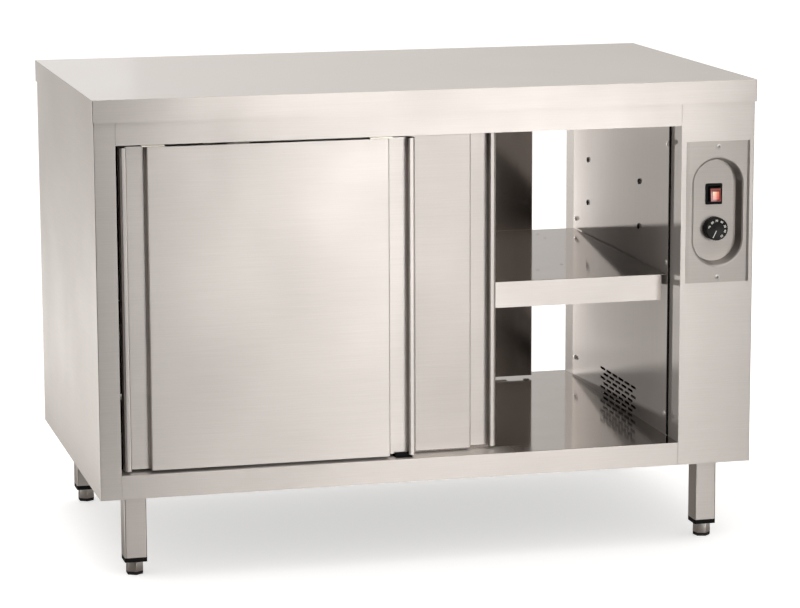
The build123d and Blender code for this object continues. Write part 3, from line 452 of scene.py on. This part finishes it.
for foot, (foot_x, foot_y, foot_turn) in foot_places.items():
    for pad in (False, True):
        shape = bmesh.new()
        if pad:
            hexagon_block(shape, 0, foot_base, foot_flats - pad_taper, foot_flats, pad_round)
        else:
            hexagon_block(shape, foot_base, foot_top, foot_flats, foot_flats - foot_taper, foot_round)
            threaded_rod(shape, stud_radius, thread_depth, thread_pitch, foot_top, stud_top)
        bmesh.ops.rotate(shape, matrix=Matrix.Rotation(math.radians(foot_turn), 3, "Z"), verts=shape.verts)
        bmesh.ops.translate(shape, vec=(foot_x, foot_y, 0), verts=shape.verts)
        finished(shape, foot + ("_pad" if pad else "_hexagon"), pad_rubber if pad else foot_bar, foot,
                 "black_plastic" if pad else "foot_steel", foot)


# ---------------------------------------------------------------- bracket bushes
# Flanged bushes of moulded black nylon line the four bracket holes of the partition.
# They push in from the compartment and hold by a light press fit.
bush_wall = 0.458
bush_places = [(along, height) for along in (-0.114, 0.198) for height in (0.555, 0.639)]
bush_profile = ((0.002, 0.0007), (0.0025, 0.0012), (0.0047, 0.0012), (0.0052, 0.0007), (0.0052, 0),
                (0.0039, 0), (0.0039, -0.007), (0.002, -0.007))
shape = bmesh.new()
for along, height in bush_places:
    spin_profile(shape, bush_profile, steps=24, closed=True)
    loose = [vert for vert in shape.verts if vert.co.x < bush_wall / 2]
    bmesh.ops.remove_doubles(shape, verts=loose, dist=0.00001)
    loose = [vert for vert in shape.verts if vert.co.x < bush_wall / 2]
    pushed_in = Matrix.Translation((bush_wall, along, height)) @ Matrix.Rotation(-math.pi / 2, 4, "Y")
    bmesh.ops.transform(shape, matrix=pushed_in, verts=loose)
finished(shape, "bracket_bushes", black_nylon, "carcass", "black_plastic")


# ---------------------------------------------------------------- jamb gap shadow
# A black strip fills the gap between the partition's front flange and the door jamb: painted shade, a dark
# sheet where the gap lies in shadow.
# It runs along the whole height of the doorway.
shadow_strip_size = (0.0036, 0.0074, 0.574)
shadow_strip_middle = (0.4602, -0.285, 0.481)
shadow_strip_round = 0.0004
# The strip's black is the painted shadow of the gap.
shadow_strip_black = fine_grained("black, painted shadow of the jamb gap", "0D0C0C", 0.7, 0.8, 0.01, gloss=0.1)


def new_block(size):
    """A fresh bmesh that holds one block of the given size."""
    shape = bmesh.new()
    bmesh.ops.create_cube(shape, size=1)
    bmesh.ops.scale(shape, vec=size, verts=shape.verts)
    return shape


shape = new_block(shadow_strip_size)
round_edges(shape, list(shape.edges), shadow_strip_round, segments=2)
bmesh.ops.translate(shape, vec=shadow_strip_middle, verts=shape.verts)
finished(shape, "jamb_shadow_strip", shadow_strip_black, "carcass", "black_plastic")


# ---------------------------------------------------------------- switch
# A lit rocker switch clips into the plate: a black nylon frame and rocker, with a clear red lens let into
# the rocker's face over a neon lamp.
switch_pivot = Vector((0.53, -0.318, 0.642))
rocker_tilt = math.radians(8)
rocker_base = (0.0215, 0.0245)
rocker_face = (0.0205, 0.025)
rocker_drop = 0.0022
rocker_levels = (0.002, 0.005, 0.0148)
rocker_round = 0.0009
lens_size = (0.0196, 0.0236, 0.0022)
lens_drop = 0.0028
lens_round = 0.0009
lens_sunk = 0.3
lit_window = (0.0058, 0.0069)
lit_shift = (0.0006, -0.0011)
window_fade = (-0.0004, 0.0005)
rim_fade = (0.0004, 0.003)
streak_sway = 0.006
neon_reach = (-0.008, 0.015)
rocker_hub = (0.018, 0.0138, 0.006)
hub_round = 0.0006
pin_radius = 0.0015
pin_length = 0.0255


def lit_lens():
    """Red polycarbonate, polished by its mould; the neon lamp behind is yellow-white towards the top left.
    Round the lamp the lens glows dull red, with a painted pink highlight along its outer edge.
    """
    lens, tree = blank_material("red polycarbonate lens over a neon lamp")
    place = add_node(tree, "ShaderNodeTexCoord")
    face_middle = switch_pivot + Vector((
        lit_shift[0], 0, rocker_levels[2] * math.sin(rocker_tilt) - lens_drop + lit_shift[1]))
    centred = add_node(tree, "ShaderNodeMapping", {"Location": tuple(-c for c in face_middle)},
                       {"Vector": place.outputs["Object"]})
    axes = add_node(tree, "ShaderNodeSeparateXYZ", links={0: centred.outputs[0]})
    aside = add_node(tree, "ShaderNodeMath", {"operation": "ABSOLUTE"}, {0: axes.outputs["X"]})
    upward = add_node(tree, "ShaderNodeMath", {"operation": "ABSOLUTE"}, {0: axes.outputs["Z"]})
    past_side = add_node(tree, "ShaderNodeMath", {"operation": "SUBTRACT", 1: lit_window[0]},
                         {0: aside.outputs[0]})
    past_top = add_node(tree, "ShaderNodeMath", {"operation": "SUBTRACT", 1: lit_window[1]},
                        {0: upward.outputs[0]})
    outward = add_node(tree, "ShaderNodeMath", {"operation": "MAXIMUM"},
                       {0: past_side.outputs[0], 1: past_top.outputs[0]})
    # Out from the lit window the lens glows dull red from the lamp, brightening to a painted pink highlight
    # at its edge.
    rim_glow_and_highlight = add_node(tree, "ShaderNodeMapRange", {"From Min": rim_fade[0], "From Max": rim_fade[1]},
                         {"Value": outward.outputs[0]})
    rim = add_node(tree, "ShaderNodeValToRGB", links={"Fac": rim_glow_and_highlight.outputs[0]})
    rim.color_ramp.elements[0].color = linear("5E2A1E")
    rim.color_ramp.elements[1].color = linear("84524C")
    rim.color_ramp.elements.new(0.45).color = linear("54241A")
    lit = add_node(tree, "ShaderNodeMapRange", {
        "From Min": window_fade[0], "From Max": window_fade[1], "To Min": 1, "To Max": 0},
        {"Value": outward.outputs[0]})
    slant = add_node(tree, "ShaderNodeMath", {"operation": "SUBTRACT"},
                     {0: axes.outputs["Z"], 1: axes.outputs["X"]})
    streaks = add_node(tree, "ShaderNodeTexNoise", {"Scale": 260, "Detail": 2},
                       {"Vector": place.outputs["Object"]})
    wavering = add_node(tree, "ShaderNodeMath", {"operation": "MULTIPLY_ADD", 1: streak_sway},
                        {0: streaks.outputs["Fac"], 2: slant.outputs[0]})
    along = add_node(tree, "ShaderNodeMapRange", {"From Min": neon_reach[0], "From Max": neon_reach[1]},
                     {"Value": wavering.outputs[0]})
    neon = add_node(tree, "ShaderNodeValToRGB", links={"Fac": along.outputs[0]})
    neon.color_ramp.elements[0].color = linear("CE5E5C")
    neon.color_ramp.elements[1].color = linear("FFE6B0")
    neon.color_ramp.elements.new(0.5).color = linear("EE9070")
    glow = add_node(tree, "ShaderNodeMix", {"data_type": "RGBA"},
                    {0: lit.outputs[0], 6: rim.outputs[0], 7: neon.outputs[0]})
    dulled = add_node(tree, "ShaderNodeMix", {"data_type": "RGBA", 6: linear("5E1A1C"), 7: linear("7A2A2C")},
                      {0: streaks.outputs["Fac"]})
    surface = add_node(tree, "ShaderNodeBsdfPrincipled", {
        "IOR": 1.58, "Roughness": 0.16, "Coat Weight": 0.3, "Emission Strength": 0.8},
        {"Base Color": dulled.outputs[2], "Emission Color": glow.outputs[2]})
    add_node(tree, "ShaderNodeOutputMaterial", links={"Surface": surface.outputs[0]})
    return lens


def verts_among(parts):
    return [part for part in parts if isinstance(part, bmesh.types.BMVert)]


upright = Matrix.Translation(switch_pivot) @ Matrix.Rotation(math.pi / 2 - rocker_tilt, 4, "X")
shape = new_block((*rocker_base, rocker_levels[1] - rocker_levels[0]))
bmesh.ops.translate(shape, vec=(0, 0, (rocker_levels[0] + rocker_levels[1]) / 2), verts=shape.verts)
front = max(shape.faces, key=lambda face: face.calc_center_median().z)
raised = bmesh.ops.extrude_face_region(shape, geom=[front])
bmesh.ops.delete(shape, geom=[front], context="FACES_ONLY")
front_verts = verts_among(raised["geom"])
bmesh.ops.scale(
    shape, vec=(rocker_face[0] / rocker_base[0], rocker_face[1] / rocker_base[1], 1), verts=front_verts)
bmesh.ops.translate(shape, vec=(0, -rocker_drop, rocker_levels[2] - rocker_levels[1]), verts=front_verts)
round_edges(shape, list(shape.edges), rocker_round)
bmesh.ops.transform(shape, matrix=upright, verts=shape.verts)
finished(shape, "switch_rocker_body", black_nylon, "switch_rocker", "black_plastic", "switch_rocker")

shape = new_block(lens_size)
round_edges(shape, list(shape.edges), lens_round)
lens_height = rocker_levels[2] - lens_size[2] * lens_sunk
bmesh.ops.translate(shape, vec=(0, -lens_drop, lens_height), verts=shape.verts)
bmesh.ops.transform(shape, matrix=upright, verts=shape.verts)
finished(shape, "switch_lens", lit_lens(), "switch_rocker", "red_lens", "switch_rocker")

shape = new_block(rocker_hub)
bmesh.ops.translate(shape, vec=(0, 0, rocker_levels[0] - rocker_hub[2] / 2), verts=shape.verts)
round_edges(shape, list(shape.edges), hub_round, segments=2)
pin = bmesh.ops.create_cone(shape, cap_ends=True, segments=24, radius1=pin_radius, radius2=pin_radius,
                            depth=pin_length)
bmesh.ops.rotate(shape, matrix=Matrix.Rotation(math.pi / 2, 3, "Y"), verts=pin["verts"])
bmesh.ops.transform(shape, matrix=upright, verts=shape.verts)
finished(shape, "switch_rocker_hub", black_nylon, "switch_rocker", "black_plastic", "switch_rocker")


# ---------------------------------------------------------------- thermostat knob
# A black phenolic knob with fine flutes round its rim; its figures and pointer are printed white.
knob_middle = Vector((0.531, -0.3225, 0.58))
knob_radius = 0.021
knob_depth = 0.0185
knob_flutes = 30
flute_depth = 0.0007
knob_bevel = 0.0014
dial_radius = 0.0193
dial_rim = 0.0007
dish_slope = 0.0005
dial_dish = 0.0004
knob_centre = 0.004
figure_radius = 0.0152
figure_size = 0.0052
figure_boldness = 0.00016
print_depth = 0.00008
dial_turns = {90: 286, 80: 322, 70: 355, 60: 34, 50: 72, 40: 105, 30: 145}
pointer_turn = 207
pointer_reach = (0.003, 0.0178)
pointer_width = 0.0014
pointer_round = 0.00063
phenolic = fine_grained("black phenolic, moulded", "201E1D", 0.5, 0.45, 0.03, mottle=0.25, gloss=0.3)
white_print = fine_grained("white printing ink", "F6F4EF", 0.55, 0.3, 0.01)

shape = bmesh.new()
bmesh.ops.create_circle(shape, cap_ends=True, segments=6 * knob_flutes, radius=knob_radius)
for vert in shape.verts:
    hollow = 0.5 - 0.5 * math.cos(knob_flutes * math.atan2(vert.co.y, vert.co.x))
    vert.co *= 1 - hollow * flute_depth / knob_radius
for lift, rim in ((knob_depth - knob_bevel, None), (knob_bevel, dial_radius), (0, dial_radius - dial_rim),
                  (-dial_dish, dial_radius - dial_rim - dish_slope), (0, knob_centre)):
    top = max(shape.faces, key=lambda face: (face.calc_center_median().z, -face.calc_area()))
    raised = bmesh.ops.extrude_face_region(shape, geom=[top])
    bmesh.ops.delete(shape, geom=[top], context="FACES_ONLY")
    ring = verts_among(raised["geom"])
    bmesh.ops.translate(shape, vec=(0, 0, lift), verts=ring)
    for vert in ring:
        if rim:
            vert.co.xy = vert.co.xy.normalized() * rim
facing_front = Matrix.Translation(knob_middle) @ Matrix.Rotation(math.pi / 2, 4, "X")
bmesh.ops.transform(shape, matrix=facing_front, verts=shape.verts)
finished(shape, "thermostat_knob_body", phenolic, "thermostat_knob", "knob_plastic", "thermostat_knob",
         smooth=50)

dial = facing_front @ Matrix.Translation((0, 0, knob_depth - dial_dish))
shape = bmesh.new()
for figure, clock_turn in dial_turns.items():
    lettering = bpy.data.curves.new(f"figure_{figure}", "FONT")
    lettering.body = str(figure)
    lettering.size = figure_size
    lettering.align_x = "CENTER"
    lettering.align_y = "CENTER"
    lettering.extrude = print_depth
    lettering.offset = figure_boldness
    writer = bpy.data.objects.new(f"figure_{figure}", lettering)
    printed = bpy.data.meshes.new_from_object(writer)
    turned = Matrix.Rotation(-math.radians(clock_turn), 4, "Z") @ Matrix.Translation((0, figure_radius, 0))
    printed.transform(dial @ turned)
    shape.from_mesh(printed)
    bpy.data.objects.remove(writer)
bmesh.ops.remove_doubles(shape, verts=shape.verts, dist=0.000001)
finished(shape, "thermostat_knob_figures", white_print, "thermostat_knob", "white_plastic")

shape = new_block((pointer_width, pointer_reach[1] - pointer_reach[0], 2 * print_depth))
bmesh.ops.translate(shape, vec=(0, sum(pointer_reach) / 2, 0), verts=shape.verts)
upright_edges = [edge for edge in shape.edges if abs(edge.verts[0].co.z - edge.verts[1].co.z) > print_depth]
round_edges(shape, upright_edges, pointer_round, segments=4)
bmesh.ops.rotate(shape, matrix=Matrix.Rotation(-math.radians(pointer_turn), 3, "Z"), verts=shape.verts)
bmesh.ops.transform(shape, matrix=dial, verts=shape.verts)
finished(shape, "thermostat_knob_pointer", white_print, "thermostat_knob", "white_plastic")


# ---------------------------------------------------------------- behind the control plate
# The thermostat, its copper capillary, the fan, heater and terminals are out of sight in the column.
galvanised = fine_grained("galvanised steel sheet", "8C8E8C", 0.4, 4, 0.02, metallic=1, mottle=0.14)
dress(galvanised, "base_panel", "worktop_stiffeners", "blower_housing")
dress(fine_grained("cream phenolic, moulded", "CFC7B2", 0.5, 0.6, 0.03), "thermostat_body", "terminal_block")
dress(zinc_plate, "thermostat_spindle", "fan_motor")
dress(fine_grained("drawn copper, dulled", "B0744E", 0.34, 0.5, 0.01, metallic=1, mottle=0.15),
      "thermostat_bulb")
dress(stainless("rolled aluminium blades", "C2C1BF", 0.35), "blower_impeller")
dress(fine_grained("heat-darkened heater sheath", "6B625B", 0.5, 0.8, 0.02, metallic=1, mottle=0.3),
      "heater_element")


# ---------------------------------------------------------------- screws
# Stainless pan-head screws, cold-forged, with a pressed cross recess, hold the plate, cover and lining.
head_profile = ((0.0046, 0), (0.00455, 0.0008), (0.0042, 0.0015), (0.0035, 0.002), (0.0029, 0.0022))
head_top = head_profile[-1][1]
cross_reach = 0.0026
cross_width = 0.0007
cross_depth = 0.0016
cross_floor = head_top - cross_depth
shank_radius = 0.0019
shank_length = 0.008
plate_screws = [((0.5295, -0.3465, height), (0, -1, 0)) for height in (0.494, 0.731)]
cover_screws = [((across, 0.3465, height), (0, 1, 0))
                for across in (0.481, 0.577) for height in (0.187, 0.693)]
wall_screws = [((wall_x, along, height), (facing, 0, 0)) for wall_x, facing in ((-0.558, 1), (0.458, -1))
               for along in (-0.274, 0.274) for height in (0.232, 0.512, 0.729)]
first_turn = 12
next_turn = 37


def on_cross_floor(part):
    return all(abs(vert.co.z - cross_floor) < 0.00001 for vert in part.verts)


def open_edges_among(parts):
    return [part for part in parts if isinstance(part, bmesh.types.BMEdge) and part.is_boundary]


screw = bmesh.new()
spin_profile(screw, head_profile, steps=24)
bmesh.ops.remove_doubles(screw, verts=screw.verts, dist=0.000001)
rims = [edge for edge in screw.edges if edge.is_boundary]
bottom_rim = [edge for edge in rims if edge.verts[0].co.z < head_top / 2]
top_rim = [edge for edge in rims if edge not in bottom_rim]
cross = bmesh.ops.create_grid(screw, x_segments=3, y_segments=3, size=cross_reach)["verts"]
for vert in cross:
    for axis in (0, 1):
        if abs(vert.co[axis]) < cross_reach / 2:
            vert.co[axis] = math.copysign(cross_width, vert.co[axis])
    vert.co.z = cross_floor
corners = [face for face in screw.faces if on_cross_floor(face) and min(
    abs(face.calc_center_median().x), abs(face.calc_center_median().y)) > cross_width]
bmesh.ops.delete(screw, geom=corners, context="FACES")
floor_edges = [edge for edge in screw.edges if edge.is_boundary and on_cross_floor(edge)]
walls = bmesh.ops.extrude_edge_only(screw, edges=floor_edges)["geom"]
bmesh.ops.translate(screw, vec=(0, 0, cross_depth), verts=verts_among(walls))
bmesh.ops.bridge_loops(screw, edges=top_rim + open_edges_among(walls))
under = bmesh.ops.extrude_edge_only(screw, edges=bottom_rim)["geom"]
neck_share = shank_radius / head_profile[0][0]
bmesh.ops.scale(screw, vec=(neck_share, neck_share, 1), verts=verts_among(under))
tip = bmesh.ops.extrude_edge_only(screw, edges=open_edges_among(under))["geom"]
bmesh.ops.translate(screw, vec=(0, 0, -shank_length), verts=verts_among(tip))
bmesh.ops.holes_fill(screw, edges=[edge for edge in screw.edges if edge.is_boundary], sides=0)
bmesh.ops.recalc_face_normals(screw, faces=screw.faces)
one_screw = bpy.data.meshes.new("one_screw")
screw.to_mesh(one_screw)
screw.free()
shape = bmesh.new()
for number, (place, facing) in enumerate(plate_screws + cover_screws + wall_screws):
    started = len(shape.verts)
    shape.from_mesh(one_screw)
    shape.verts.ensure_lookup_table()
    aim = Vector(facing).to_track_quat("Z", "Y").to_matrix().to_4x4()
    slot_turn = Matrix.Rotation(math.radians(next_turn * number + first_turn), 4, "Z")
    driven_in = Matrix.Translation(place) @ aim @ slot_turn
    bmesh.ops.transform(shape, matrix=driven_in, verts=shape.verts[started:])
# The screw heads are coloured near white and half matt: a painted glint, so they stay bright whatever they
# reflect.
screw_steel = stainless("stainless steel screws, whitened as painted glint", "F4EFEA", 0.35, spread=0, metallic=0.5)
finished(shape, "cross_recess_screws", screw_steel, "carcass", "screw_steel", "pan_head_screws")
